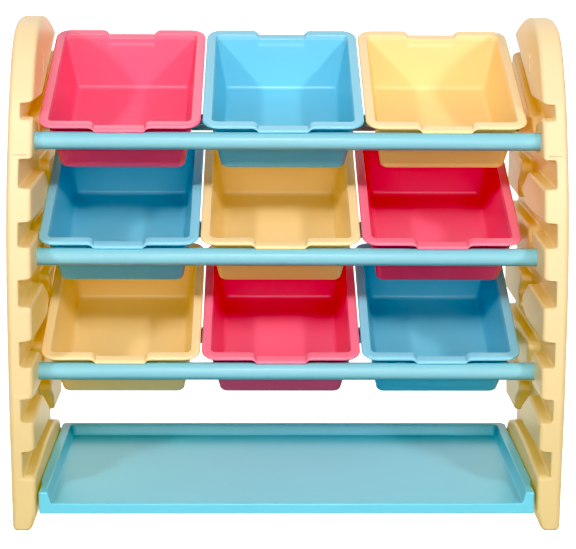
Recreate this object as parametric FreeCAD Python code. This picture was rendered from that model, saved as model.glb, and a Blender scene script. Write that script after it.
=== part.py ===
import FreeCAD, Part
import math, os
from FreeCAD import Vector as V

# Toy storage organizer: two moulded side panels, three front rails and three
# rear rails between them, a low tray at the foot, and nine loose open bins.
# Frame: origin at the middle of the footprint on the floor, +X to the right,
# +Y to the back, +Z up, millimetres.

# ---------------------------------------------------------------- dimensions
ZR = 472.0            # height of the top front rail's axis
YR = -87.55           # depth of the top front rail's axis from the middle

HALF_SPAN = 307.5     # inner face of the raised blocks
FLOOR_X = 323.0       # bottom of the channels between the blocks
OUTER_X = 338.0       # outer face of the side panels
PANEL_SKIN = 2.6      # wall of the hollow side panels

RAIL_D = 22.0
RAIL_BORE = 18.0
REAR_D = 22.0
REAR_BORE = 18.0
SOCKET_PLAY = 0.5     # socket diameter over rail diameter
SOCKET_DEPTH = 10.0
RAIL_GAP = 0.4        # play between a rail's end and the bottom of its socket
ROW_PITCH = 143.0
RAIL_SHIFT = (0.0, -5.6, -16.5)      # each lower rail stands a little forward
REAR_RAIL = (179.2, 0.0)             # rear rail's axis from the front rail's axis

TILT = 22.33          # degrees, bins lean down to the front
BIN_L = 259.8         # rim, front to back along the slope
BIN_W = 197.8         # rim, side to side
BIN_PITCH = 199.6
BIN_DEPTH = 75.6      # inside
WALL = 2.5
LIP_T = 4.2
OVER_F = 11.0         # lip overhang, front
OVER_B = 11.0         # lip overhang, rear
OVER_X = 9.0          # lip overhang, sides
DRAFT_F = 0.239       # taper of the front wall
DRAFT_B = 0.15        # taper of the rear wall
DRAFT_X = 0.175       # taper of the side walls
RIM_R = 20.0
NOTCH_HALF = 30.0
NOTCH_TOP = 5.8
NOTCH_BOT = 10.0
NOTCH_RAMP = 7.0
BIN_FRONT = (-9.45, 19.04)           # rim's front edge from the rail's axis
ROW_SHIFT_X = (-5.7, -8.5, -7.5)     # how the loose rows sit along the rails

TRAY_FRONT = -83.6
TRAY_REAR = 204.0
TRAY_TOP = -421.0
TRAY_FLOOR = -435.7
TRAY_BOTTOM = -449.1
TRAY_SKIN = 3.2
TRAY_X = 307.2

os.makedirs("parts", exist_ok=True)


def W(y, z):
    """a side-view point, measured from the top front rail's axis"""
    return (y + YR, z + ZR)


def save(name, shape):
    shape.exportStep(os.path.join("parts", name + ".step"))
    print(name, "solids", len(shape.Solids), "vol %.0f" % shape.Volume, "valid", shape.isValid())


def mirror_x(shape):
    return shape.mirror(V(0, 0, 0), V(1, 0, 0))


def biggest(shape):
    return max(shape.Solids, key=lambda s: s.Volume)


def rounded_wire(pts, radii, place):
    """closed wire through pts with each corner rounded; place maps 2d to 3d"""
    n = len(pts)
    ends = []
    for i in range(n):
        p0, p1, p2 = pts[i - 1], pts[i], pts[(i + 1) % n]
        a = (p0[0] - p1[0], p0[1] - p1[1])
        b = (p2[0] - p1[0], p2[1] - p1[1])
        la, lb = math.hypot(*a), math.hypot(*b)
        a = (a[0] / la, a[1] / la)
        b = (b[0] / lb, b[1] / lb)
        cosang = max(-1, min(1, a[0] * b[0] + a[1] * b[1]))
        half = math.acos(cosang) / 2
        r = radii[i]
        if r <= 0 or abs(half - math.pi / 2) < 0.02:
            ends.append((p1, None, p1))
            continue
        t = r / math.tan(half)
        t = min(t, 0.48 * la, 0.48 * lb)
        r = t * math.tan(half)
        s = (p1[0] + a[0] * t, p1[1] + a[1] * t)
        e = (p1[0] + b[0] * t, p1[1] + b[1] * t)
        bis = (a[0] + b[0], a[1] + b[1])
        lbis = math.hypot(*bis)
        c = (p1[0] + bis[0] / lbis * r / math.sin(half), p1[1] + bis[1] / lbis * r / math.sin(half))
        m = (c[0] - bis[0] / lbis * r, c[1] - bis[1] / lbis * r)
        ends.append((s, m, e))
    edges = []
    for i in range(n):
        s, m, e = ends[i]
        if m is not None:
            edges.append(Part.Arc(place(s), place(m), place(e)).toShape())
        nxt = ends[(i + 1) % n][0]
        if math.hypot(nxt[0] - e[0], nxt[1] - e[1]) > 1e-6:
            edges.append(Part.LineSegment(place(e), place(nxt)).toShape())
    return Part.Wire(edges)


def prism_yz(pts, radii, x0, x1):
    """side-view polygon (rail coordinates) pushed along X from x0 to x1"""
    w = rounded_wire([W(*p) for p in pts], radii, lambda q: V(x0, q[0], q[1]))
    return Part.Face(w).extrude(V(x1 - x0, 0, 0))


def try_fillet(shape, radii, edges, name):
    for r in radii:
        try:
            b2 = shape.makeFillet(r, edges)
            if b2.isValid() and 0.8 * shape.Volume < b2.Volume < shape.Volume:
                return b2
        except Exception:
            pass
    print(name, "keeps sharp edges")
    return shape


# ---------------------------------------------------------------- side panel
OUTLINE = [(-80, -472), (-79.5, -440), (-79.5, -392), (-80.5, -345), (-80, -302), (-77, -239), (-73.5, -180),
           (-67.5, -133), (-59.5, -90), (-50, -53), (-37, -15), (-22, 20), (-11, 46), (9, 79), (23, 99), (38, 115),
           (58, 130), (80, 138), (103, 141.5), (130, 142), (155, 139.5), (180, 134), (205, 127), (228, 119),
           (243, 110), (251.5, 93), (256, 68), (258.2, 35), (258.7, 0), (258.7, -55), (258.5, -110), (257.7, -160),
           (255.5, -210), (249.5, -262), (237, -302), (222, -335), (210.5, -366), (204, -395), (203, -420),
           (203, -450), (203, -472)]


def outline_face(x, inset=0.0):
    pts = OUTLINE
    if inset:
        out = []
        n = len(pts)
        for i, p in enumerate(pts):
            a = pts[max(i - 1, 0)]
            b = pts[min(i + 1, n - 1)]
            tx, ty = b[0] - a[0], b[1] - a[1]
            l = math.hypot(tx, ty)
            q = (p[0] + ty / l * inset, p[1] - tx / l * inset)
            if i in (0, n - 1):
                q = (q[0], p[1] + (inset if inset > 1 else 0))
            out.append(q)
        pts = out
    vs = [V(x, *W(*p)) for p in pts]
    c = Part.BSplineCurve()
    c.interpolate(vs)
    return Part.Face(Part.Wire([c.toShape(), Part.LineSegment(vs[-1], vs[0]).toShape()]))


# raised blocks of the inner face: side-view corners and corner radii
BLOCKS = {
    "top": ([(-70, 47), (80, 46), (143, 73), (198, 95), (262, 121), (262, 175), (-70, 175)],
            [0, 22, 0, 0, 0, 0, 0]),
    "f1": ([(-45, 25), (-6, 31), (31, 19), (38, 5), (27, -18), (-45, -19)], [0, 10, 9, 6, 7, 0]),
    "f2": ([(-70, -51), (87, -50), (137, -79), (92, -94), (17, -95), (-70, -88)], [0, 16, 7, 20, 20, 0]),
    "f3": ([(-90, -122), (40, -117), (27, -138), (6, -160), (-90, -159)], [0, 9, 14, 10, 0]),
    "f4": ([(-95, -192), (49, -188), (87, -208), (98, -218), (80, -232), (54, -237), (-95, -234)],
           [0, 16, 12, 6, 12, 12, 0]),
    "f5": ([(-95, -265), (-1, -264), (7, -281), (-9, -306), (-95, -305)], [0, 9, 12, 9, 0]),
    "f6": ([(-95, -334), (-25, -329), (16, -326), (68, -355), (89, -373), (35, -376), (-95, -371)],
           [0, 0, 16, 12, 5, 20, 0]),
    "r1": ([(66, 24), (92, 24), (143, 46), (201, 68), (270, 95), (270, -20), (50, -20), (60, 2)],
           [8, 14, 0, 0, 0, 0, 8, 14]),
    "r2": ([(126, -45), (270, -45), (270, -93), (150, -96), (161, -78)], [9, 0, 0, 9, 8]),
    "r3": ([(67, -117), (270, -117), (270, -164), (34, -163), (54, -141)], [9, 0, 0, 9, 14]),
    "r4": ([(98, -189), (270, -189), (270, -237), (103, -237), (124, -214)], [9, 0, 0, 9, 8]),
    "r5": ([(26, -261), (270, -261), (270, -308), (18, -306), (32, -283)], [9, 0, 0, 9, 14]),
    "r6": ([(78, -333), (270, -333), (270, -380), (123, -379), (116, -358)], [9, 0, 0, 9, 12]),
    "foot": ([(-95, -404), (-26, -400), (37, -395), (130, -395), (180, -409), (189, -425), (190, -472), (-95, -472)],
             [0, 0, 0, 20, 12, 8, 0, 0]),
}

TRAY_SCREWS = [(15.0, -442.2), (150.0, -442.2)]


def rail_axes():
    """(name, y, z, diameter, bore) of the six rails, in the part's frame"""
    out = []
    for i, row in enumerate(("top", "middle", "bottom")):
        y, z = RAIL_SHIFT[i], -ROW_PITCH * i
        out.append(("front_rail_" + row, y + YR, z + ZR, RAIL_D, RAIL_BORE))
        out.append(("rear_rail_" + row, y + REAR_RAIL[0] + YR, z + REAR_RAIL[1] + ZR, REAR_D, REAR_BORE))
    return out


def side_panel():
    base = outline_face(FLOOR_X).extrude(V(OUTER_X - FLOOR_X, 0, 0))
    es = [e for e in base.Edges if abs(e.BoundBox.XMin - OUTER_X) < 1e-3 and abs(e.BoundBox.XMax - OUTER_X) < 1e-3]
    base = try_fillet(base, (5.0, 3.0), es, "panel outer edge")
    inset = outline_face(HALF_SPAN, 0.6).extrude(V(FLOOR_X - HALF_SPAN, 0, 0))
    body = base
    for name, (pts, radii) in BLOCKS.items():
        blk = biggest(prism_yz(pts, radii, HALF_SPAN, FLOOR_X).common(inset))
        es = [e for e in blk.Edges if abs(e.BoundBox.XMin - HALF_SPAN) < 1e-3 and abs(e.BoundBox.XMax - HALF_SPAN) < 1e-3
              and e.BoundBox.ZMax > 1.0]
        full = blk
        blk = try_fillet(blk, (3.0, 2.0, 1.2), es, "block " + name)
        if blk is full:
            es = [e for e in es if not isinstance(e.Curve, Part.BSplineCurve)]
            blk = try_fillet(blk, (3.0, 2.0, 1.2), es, "block " + name + " straight edges")
        body = body.fuse(blk)
    # the panel is a hollow moulding: one closed cavity behind the skin
    cav = outline_face(FLOOR_X + PANEL_SKIN, 9.0).extrude(V(OUTER_X - FLOOR_X - 2 * PANEL_SKIN, 0, 0))
    rim_in = outline_face(HALF_SPAN, 8.0).extrude(V(OUTER_X - HALF_SPAN, 0, 0))
    for name, (pts, radii) in BLOCKS.items():
        f = Part.Face(rounded_wire([W(*p) for p in pts], radii, lambda q: V(HALF_SPAN + PANEL_SKIN, q[0], q[1])))
        try:
            hollow = f.makeOffset2D(-4.5).extrude(V(FLOOR_X - HALF_SPAN + 1.0, 0, 0)).common(rim_in)
            cav = cav.fuse(biggest(hollow))
        except Exception as ex:
            print("block", name, "stays solid", ex)
    for name, y, z, d, bore in rail_axes():
        cav = cav.cut(Part.makeCylinder(d / 2 + 3.0, 60, V(HALF_SPAN, y, z), V(1, 0, 0)))
    yy, zz = W(100, 90)
    cav = cav.cut(Part.makeBox(13, 16, 40, V(HALF_SPAN, yy - 8, zz - 22)))
    cav = cav.cut(Part.makeBox(9.4, 400, 26, V(HALF_SPAN, -200, 0)))
    for y, z in TRAY_SCREWS:
        cav = cav.cut(Part.makeCylinder(10.0, 60, V(HALF_SPAN, *W(y, z)), V(1, 0, 0)))
    body = body.cut(biggest(cav))
    # sockets for the rails, and the screw holes behind them
    for name, y, z, d, bore in rail_axes():
        body = body.cut(Part.makeCylinder((d + SOCKET_PLAY) / 2, SOCKET_DEPTH + 1, V(HALF_SPAN - 1, y, z), V(1, 0, 0)))
        body = body.cut(Part.makeCylinder(2.3, 60, V(HALF_SPAN, y, z), V(1, 0, 0)))
        body = body.cut(Part.makeCylinder(5.6, 5, V(OUTER_X - 3.6, y, z), V(1, 0, 0)))
    # drafted foot below the tray
    a, b = W(0, -449)[1], 0.0
    wedge = Part.Face(Part.makePolygon([V(HALF_SPAN - 1, -200, a), V(HALF_SPAN, -200, a), V(HALF_SPAN + 6.5, -200, b - 0.5),
                                        V(HALF_SPAN - 1, -200, b - 0.5), V(HALF_SPAN - 1, -200, a)])).extrude(V(0, 400, 0))
    body = body.cut(wedge)
    for y, z in TRAY_SCREWS:
        yy, zz = W(y, z)
        body = body.cut(Part.makeCylinder(2.3, 60, V(HALF_SPAN - 1, yy, zz), V(1, 0, 0)))
        body = body.cut(Part.makeCylinder(5.6, 5, V(OUTER_X - 3.6, yy, zz), V(1, 0, 0)))
    # small round hole and shallow slot high on the inner face
    yy, zz = W(100, 96)
    body = body.cut(Part.makeCylinder(3.6, 9, V(HALF_SPAN - 1, yy, zz), V(1, 0, 0)))
    slot = rounded_wire([(yy - 3, zz - 22), (yy + 3, zz - 22), (yy + 3, zz - 6), (yy - 3, zz - 6)], [2.9] * 4,
                        lambda q: V(HALF_SPAN - 1, q[0], q[1]))
    body = body.cut(Part.Face(slot).extrude(V(3.2, 0, 0)))
    return biggest(body)


right_panel = side_panel()
save("right_side_panel", right_panel)
save("left_side_panel", mirror_x(right_panel))

# --------------------------------------------------------------------- rails
half = HALF_SPAN + SOCKET_DEPTH - RAIL_GAP
left_plugs, right_plugs, left_screws, right_screws = [], [], [], []


def screw(y, z, length):
    """pan-head screw driven in from the right, head sunk in its counterbore"""
    head_x = OUTER_X - 3.4
    head = Part.makeCylinder(5.2, 2.8, V(head_x, y, z), V(1, 0, 0))
    head = try_fillet(head, (1.2,), [e for e in head.Edges if abs(e.BoundBox.XMin - head_x - 2.8) < 1e-3
                                     and abs(e.BoundBox.XMax - head_x - 2.8) < 1e-3], "screw head")
    for k in range(2):
        c = Part.makeBox(1.6, 5.2, 1.1, V(head_x + 1.4, y - 2.6, z - 0.55))
        if k:
            c.rotate(V(head_x, y, z), V(1, 0, 0), 90)
        head = head.cut(c)
    shank = Part.makeCylinder(2.0, length, V(head_x - length, y, z), V(1, 0, 0))
    tip = Part.makeCone(0.6, 2.0, 3.0, V(head_x - length - 3.0, y, z), V(1, 0, 0))
    return biggest(head.fuse(shank).fuse(tip))


for name, y, z, d, bore in rail_axes():
    tube = Part.makeCylinder(d / 2, 2 * half, V(-half, y, z), V(1, 0, 0))
    tube = tube.cut(Part.makeCylinder(bore / 2, 2 * half + 2, V(-half - 1, y, z), V(1, 0, 0)))
    save(name, tube)
    plug = Part.makeCylinder(bore / 2 - 0.05, 26, V(half - 26, y, z), V(1, 0, 0))
    plug = plug.cut(Part.makeCylinder(2.1, 30, V(half - 28, y, z), V(1, 0, 0)))
    right_plugs.append(plug)
    left_plugs.append(mirror_x(plug))
    s = screw(y, z, OUTER_X - 3.4 - half + 14)
    right_screws.append(s)
    left_screws.append(mirror_x(s))

save("right_rail_plugs", Part.makeCompound(right_plugs))
save("left_rail_plugs", Part.makeCompound(left_plugs))
save("right_rail_screws", Part.makeCompound(right_screws))
save("left_rail_screws", Part.makeCompound(left_screws))

# ---------------------------------------------------------------------- tray
yF, yB = TRAY_FRONT + YR, TRAY_REAR + YR
zT, zF, zB = TRAY_TOP + ZR, TRAY_FLOOR + ZR, TRAY_BOTTOM + ZR
plan = [(304.0, yF), (304.6, yF + 36), (TRAY_X, yF + 50), (TRAY_X, yB), (-TRAY_X, yB), (-TRAY_X, yF + 50),
        (-304.6, yF + 36), (-304.0, yF)]
tray = Part.Face(rounded_wire(plan, [2.0, 0, 0, 8, 8, 0, 0, 2.0], lambda q: V(q[0], q[1], zB))).extrude(V(0, 0, zT - zB))
plan_in = [(290.5, yF - 5), (292.6, yF + 5), (295.0, yF + 17), (295.0, yB - 11.0), (-295.0, yB - 11.0),
           (-295.0, yF + 17), (-292.6, yF + 5), (-290.5, yF - 5)]
well = Part.Face(rounded_wire(plan_in, [0, 0, 12, 5, 5, 12, 0, 0], lambda q: V(q[0], q[1], zF))).extrude(V(0, 0, 40))
tray = tray.cut(well)
# hollow underside with ribs
nx, ny = 6, 3
xs0, xs1 = -286.0, 286.0
ys0, ys1 = yF + 3.2, yB - 14.0
cw = (xs1 - xs0 - (nx - 1) * 2.6) / nx
ch = (ys1 - ys0 - (ny - 1) * 2.6) / ny
for i in range(nx):
    for j in range(ny):
        x0 = xs0 + i * (cw + 2.6)
        y0 = ys0 + j * (ch + 2.6)
        w = rounded_wire([(x0, y0), (x0 + cw, y0), (x0 + cw, y0 + ch), (x0, y0 + ch)], [3] * 4,
                         lambda q: V(q[0], q[1], zB - 1))
        tray = tray.cut(Part.Face(w).extrude(V(0, 0, zF - TRAY_SKIN - zB + 1)))
for sx in (1, -1):
    for y, z in TRAY_SCREWS:
        yy, zz = W(y, z)
        c = Part.makeCylinder(2.1, 14, V(294.0, yy, zz), V(1, 0, 0))
        if sx < 0:
            c = mirror_x(c)
        tray = tray.cut(c)
tray = biggest(tray)
es = [e for e in tray.Edges if abs(e.BoundBox.ZMin - zT) < 1e-3 and abs(e.BoundBox.ZMax - zT) < 1e-3]
tray = try_fillet(tray, (1.2, 0.8), es, "tray rim")
save("bottom_tray", tray)

rt, lt = [], []
for y, z in TRAY_SCREWS:
    yy, zz = W(y, z)
    s = screw(yy, zz, OUTER_X - 3.4 - 298.5)
    rt.append(s)
    lt.append(mirror_x(s))
save("right_tray_screws", Part.makeCompound(rt))
save("left_tray_screws", Part.makeCompound(lt))


# ---------------------------------------------------------------------- bins
def ring(hx, y0, y1, r, z):
    return rounded_wire([(-hx, y0), (hx, y0), (hx, y1), (-hx, y1)], [r] * 4, lambda q: V(q[0], q[1], z))


def make_bin():
    """one bin, lying level: rim plane at z = 0, front edge at y = 0"""
    hx, d = BIN_W / 2 - OVER_X, BIN_DEPTH + WALL
    outer = Part.makeLoft([ring(hx, OVER_F, BIN_L - OVER_B, 9, 0),
                           ring(hx - d * DRAFT_X, OVER_F + d * DRAFT_F, BIN_L - OVER_B - d * DRAFT_B, 8, -d)], True, True)
    outer = try_fillet(outer, (6.5, 5.5, 4.5), [e for e in outer.Edges if e.BoundBox.ZMax < -d + 1e-3], "bin outside")
    top = 3.0
    hi = hx - WALL
    inner = Part.makeLoft([ring(hi + top * DRAFT_X, OVER_F + WALL - top * DRAFT_F, BIN_L - OVER_B - WALL + top * DRAFT_B, 6.6, top),
                           ring(hi - BIN_DEPTH * DRAFT_X, OVER_F + WALL + BIN_DEPTH * DRAFT_F,
                                BIN_L - OVER_B - WALL - BIN_DEPTH * DRAFT_B, 6, -BIN_DEPTH)], True, True)
    inner = try_fillet(inner, (5.0, 4.0, 3.0), [e for e in inner.Edges if e.BoundBox.ZMax < -BIN_DEPTH + 1e-3], "bin inside")
    rim = Part.Face(ring(BIN_W / 2, 0, BIN_L, RIM_R, -LIP_T)).extrude(V(0, 0, LIP_T))
    n0, n1, nt, nb = NOTCH_HALF, NOTCH_HALF + NOTCH_RAMP, NOTCH_TOP, NOTCH_BOT
    dip = []
    space = []
    for (ya, yb) in ((0.0, OVER_F + 4.0), (BIN_L - OVER_B - 4.0, BIN_L)):
        p = [(-n1, 0), (-n0, -nt), (n0, -nt), (n1, 0), (n1 + 1.0, -LIP_T), (n0 + 1.6, -nb), (-n0 - 1.6, -nb),
             (-n1 - 1.0, -LIP_T)]
        dip.append(Part.Face(rounded_wire(p, [1.5] * 8, lambda q: V(q[0], ya, q[1]))).extrude(V(0, yb - ya, 0)))
        y0 = ya - 3
        q4 = [(-n1 - 1.2, 1.0), (-n0, -nt), (n0, -nt), (n1 + 1.2, 1.0)]
        space.append(Part.Face(rounded_wire(q4, [0] * 4, lambda q: V(q[0], y0, q[1]))).extrude(V(0, yb - ya + 6, 0)))
    b = outer.fuse(rim)
    for s in space:
        b = b.cut(s)
    for s in dip:
        b = b.fuse(s)
    b = b.cut(inner)
    b = biggest(b)
    return b.removeSplitter()


bin0 = make_bin()
for i, row in enumerate(("top", "middle", "bottom")):
    for j, col in enumerate(("left", "center", "right")):
        b = bin0.copy()
        b.rotate(V(0, 0, 0), V(1, 0, 0), TILT)
        y, z = W(RAIL_SHIFT[i] + BIN_FRONT[0], -ROW_PITCH * i + BIN_FRONT[1])
        b.translate(V((j - 1) * BIN_PITCH + ROW_SHIFT_X[i], y, z))
        save("bin_%s_%s" % (row, col), b)
for n in rail_axes():
    print("axis", n)
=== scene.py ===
import math
import bpy
import numpy as np
from mathutils import Matrix, Vector
from mathutils.geometry import delaunay_2d_cdt


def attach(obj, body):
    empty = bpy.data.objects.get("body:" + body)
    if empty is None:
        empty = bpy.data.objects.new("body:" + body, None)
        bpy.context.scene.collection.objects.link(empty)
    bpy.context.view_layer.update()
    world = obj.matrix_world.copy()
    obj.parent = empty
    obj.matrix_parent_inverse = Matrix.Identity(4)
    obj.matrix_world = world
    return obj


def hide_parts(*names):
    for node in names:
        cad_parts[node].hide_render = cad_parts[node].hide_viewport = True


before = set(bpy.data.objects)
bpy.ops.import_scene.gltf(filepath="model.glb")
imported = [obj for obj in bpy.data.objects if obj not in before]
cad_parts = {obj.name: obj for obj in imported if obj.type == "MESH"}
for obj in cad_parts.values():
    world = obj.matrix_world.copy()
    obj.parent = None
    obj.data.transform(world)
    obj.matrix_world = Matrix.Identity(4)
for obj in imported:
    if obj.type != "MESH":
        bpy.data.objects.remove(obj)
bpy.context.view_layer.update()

scene = bpy.context.scene

# all shapes are worked out in millimetres in the frame's own axes
ZR, YR = 472.0, -87.55
HALF_SPAN, FLOOR_X, OUTER_X = 307.5, 323.0, 338.0
ROW_PITCH = 143.0
RAIL_SHIFT = (0.0, -5.6, -16.5)
REAR_RAIL = (179.2, 0.0)
ROW_SHIFT_X = (-5.7, -8.5, -7.5)
TILT = math.radians(22.33)
CT, ST = math.cos(TILT), math.sin(TILT)
ROWS = ("top", "middle", "bottom")
COLS = ("left", "center", "right")


# ------------------------------------------------------------------ materials
def lin(c):
    return tuple((v / 12.92 if v <= 0.04045 else ((v + 0.055) / 1.055) ** 2.4) for v in (x / 255.0 for x in c))


def plastic(name, rgb, rough=0.34, vary=0.05, peel=0.05, edge=0.10, sss=0.0, sss_col=None, spec=0.45, coat=0.0,
            painted_glow=None, painted_foot_shade=None, grain=0.0004, painted_rim_light=None):
    """Moulded plastic: faint mottling, fine orange peel, rubbed edges and uneven gloss, plus optional painted light: a
    painted glow, painted shade towards the foot and a painted pale rim.
    """
    m = bpy.data.materials.new(name)
    m.use_nodes = True
    nt = m.node_tree
    n, l = nt.nodes, nt.links
    bsdf = n["Principled BSDF"]
    base = lin(rgb)
    co = n.new("ShaderNodeTexCoord")
    big = n.new("ShaderNodeTexNoise")
    big.inputs["Scale"].default_value = 9.0
    big.inputs["Detail"].default_value = 1.0
    l.new(co.outputs["Object"], big.inputs["Vector"])
    fine = n.new("ShaderNodeTexNoise")
    fine.inputs["Scale"].default_value = 420.0
    fine.inputs["Detail"].default_value = 2.0
    l.new(co.outputs["Object"], fine.inputs["Vector"])
    mid = n.new("ShaderNodeTexNoise")
    mid.inputs["Scale"].default_value = 60.0
    mid.inputs["Detail"].default_value = 1.0
    l.new(co.outputs["Object"], mid.inputs["Vector"])
    # colour: darker and lighter patches of the same resin
    ramp = n.new("ShaderNodeValToRGB")
    d = tuple(max(0.0, c * (1 - vary * 1.4)) for c in base)
    hi = tuple(min(1.0, c * (1 + vary * 0.6) + 0.004) for c in base)
    ramp.color_ramp.elements[0].position = 0.32
    ramp.color_ramp.elements[0].color = (*d, 1)
    ramp.color_ramp.elements[1].position = 0.68
    ramp.color_ramp.elements[1].color = (*hi, 1)
    l.new(big.outputs["Fac"], ramp.inputs["Fac"])
    # rubbed, slightly paler edges
    geo = n.new("ShaderNodeNewGeometry")
    er = n.new("ShaderNodeMapRange")
    er.inputs["From Min"].default_value = 0.53
    er.inputs["From Max"].default_value = 0.66
    er.inputs["To Min"].default_value = 0.0
    er.inputs["To Max"].default_value = edge
    l.new(geo.outputs["Pointiness"], er.inputs["Value"])
    brk = n.new("ShaderNodeMath")
    brk.operation = "MULTIPLY"
    l.new(er.outputs["Result"], brk.inputs[0])
    l.new(big.outputs["Fac"], brk.inputs[1])
    mix = n.new("ShaderNodeMixRGB")
    l.new(brk.outputs["Value"], mix.inputs["Fac"])
    l.new(ramp.outputs["Color"], mix.inputs["Color1"])
    mix.inputs["Color2"].default_value = (*tuple(min(1.0, c * 0.6 + 0.4) for c in base), 1)
    last = mix.outputs["Color"]
    if painted_foot_shade:
        # painted shade: the colour is multiplied darker and yellower towards the foot, standing in for the light that
        # falls off lower down
        sep = n.new("ShaderNodeSeparateXYZ")
        l.new(co.outputs["Object"], sep.inputs["Vector"])
        fr = n.new("ShaderNodeMapRange")
        fr.inputs["From Min"].default_value = 0.50
        fr.inputs["From Max"].default_value = 0.02
        l.new(sep.outputs["Z"], fr.inputs["Value"])
        mul = n.new("ShaderNodeMixRGB")
        mul.blend_type = "MULTIPLY"
        l.new(fr.outputs["Result"], mul.inputs["Fac"])
        l.new(last, mul.inputs["Color1"])
        mul.inputs["Color2"].default_value = (*painted_foot_shade, 1)
        last = mul.outputs["Color"]
    if painted_rim_light:
        # painted light: the rim is mixed towards white where the depth below the rim plane is small, a painted
        # paleness and highlight standing in for the stronger light on the rim
        sep = n.new("ShaderNodeSeparateXYZ")
        l.new(co.outputs["Object"], sep.inputs["Vector"])
        ya = n.new("ShaderNodeMath")
        ya.operation = "MULTIPLY"
        ya.inputs[1].default_value = ST
        l.new(sep.outputs["Y"], ya.inputs[0])
        za = n.new("ShaderNodeMath")
        za.operation = "MULTIPLY_ADD"
        za.inputs[1].default_value = -CT
        l.new(sep.outputs["Z"], za.inputs[0])
        l.new(ya.outputs["Value"], za.inputs[2])
        total = None
        for i in range(3):
            at = ((YR + RAIL_SHIFT[i] - 9.45) * ST - (ZR - ROW_PITCH * i + 19.04) * CT) / 1000.0
            cmpn = n.new("ShaderNodeMath")
            cmpn.operation = "COMPARE"
            cmpn.inputs[1].default_value = at + 0.003
            cmpn.inputs[2].default_value = 0.0045
            l.new(za.outputs["Value"], cmpn.inputs[0])
            if total is None:
                total = cmpn.outputs["Value"]
            else:
                ad = n.new("ShaderNodeMath")
                ad.operation = "ADD"
                ad.use_clamp = True
                l.new(total, ad.inputs[0])
                l.new(cmpn.outputs["Value"], ad.inputs[1])
                total = ad.outputs["Value"]
        pale = n.new("ShaderNodeMixRGB")
        sc2 = n.new("ShaderNodeMath")
        sc2.operation = "MULTIPLY"
        sc2.inputs[1].default_value = painted_rim_light
        l.new(total, sc2.inputs[0])
        l.new(sc2.outputs["Value"], pale.inputs["Fac"])
        l.new(last, pale.inputs["Color1"])
        pale.inputs["Color2"].default_value = (1.0, 1.0, 1.0, 1)
        last = pale.outputs["Color"]
    l.new(last, bsdf.inputs["Base Color"])
    if painted_glow:
        # painted glow: a weak emission in the resin's own hue that lifts the shaded parts, though the plastic is no
        # lamp
        bsdf.inputs["Emission Color"].default_value = (*painted_glow, 1)
        bsdf.inputs["Emission Strength"].default_value = 1.0
    # gloss
    rr = n.new("ShaderNodeMapRange")
    rr.inputs["From Min"].default_value = 0.3
    rr.inputs["From Max"].default_value = 0.7
    rr.inputs["To Min"].default_value = rough - 0.015
    rr.inputs["To Max"].default_value = rough + 0.025
    l.new(big.outputs["Fac"], rr.inputs["Value"])
    if peel:
        l.new(rr.outputs["Result"], bsdf.inputs["Roughness"])
    else:
        bsdf.inputs["Roughness"].default_value = rough
    bump = n.new("ShaderNodeBump")
    bump.inputs["Strength"].default_value = peel
    bump.inputs["Distance"].default_value = grain
    add = n.new("ShaderNodeMath")
    add.operation = "ADD"
    sc = n.new("ShaderNodeMath")
    sc.operation = "MULTIPLY"
    sc.inputs[1].default_value = 0.12
    l.new(mid.outputs["Fac"], sc.inputs[0])
    l.new(fine.outputs["Fac"], add.inputs[0])
    l.new(sc.outputs["Value"], add.inputs[1])
    l.new(add.outputs["Value"], bump.inputs["Height"])
    if peel:
        l.new(bump.outputs["Normal"], bsdf.inputs["Normal"])
    bsdf.inputs["Specular IOR Level"].default_value = spec
    bsdf.inputs["IOR"].default_value = 1.49
    if coat:
        bsdf.inputs["Coat Weight"].default_value = coat
        bsdf.inputs["Coat Roughness"].default_value = 0.18
    if sss:
        bsdf.inputs["Subsurface Weight"].default_value = sss
        bsdf.inputs["Subsurface Radius"].default_value = sss_col or (1.0, 0.5, 0.3)
        bsdf.inputs["Subsurface Scale"].default_value = 0.004
    return m


def steel(name):
    m = bpy.data.materials.new(name)
    m.use_nodes = True
    n, l = m.node_tree.nodes, m.node_tree.links
    b = n["Principled BSDF"]
    b.inputs["Metallic"].default_value = 1.0
    co = n.new("ShaderNodeTexCoord")
    t = n.new("ShaderNodeTexNoise")
    t.inputs["Scale"].default_value = 900.0
    l.new(co.outputs["Object"], t.inputs["Vector"])
    r = n.new("ShaderNodeValToRGB")
    r.color_ramp.elements[0].color = (0.42, 0.43, 0.46, 1)
    r.color_ramp.elements[1].color = (0.62, 0.63, 0.66, 1)
    l.new(t.outputs["Fac"], r.inputs["Fac"])
    l.new(r.outputs["Color"], b.inputs["Base Color"])
    q = n.new("ShaderNodeMapRange")
    q.inputs["To Min"].default_value = 0.22
    q.inputs["To Max"].default_value = 0.40
    l.new(t.outputs["Fac"], q.inputs["Value"])
    l.new(q.outputs["Result"], b.inputs["Roughness"])
    bp = n.new("ShaderNodeBump")
    bp.inputs["Strength"].default_value = 0.08
    bp.inputs["Distance"].default_value = 0.0002
    l.new(t.outputs["Fac"], bp.inputs["Height"])
    l.new(bp.outputs["Normal"], b.inputs["Normal"])
    return m


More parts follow.
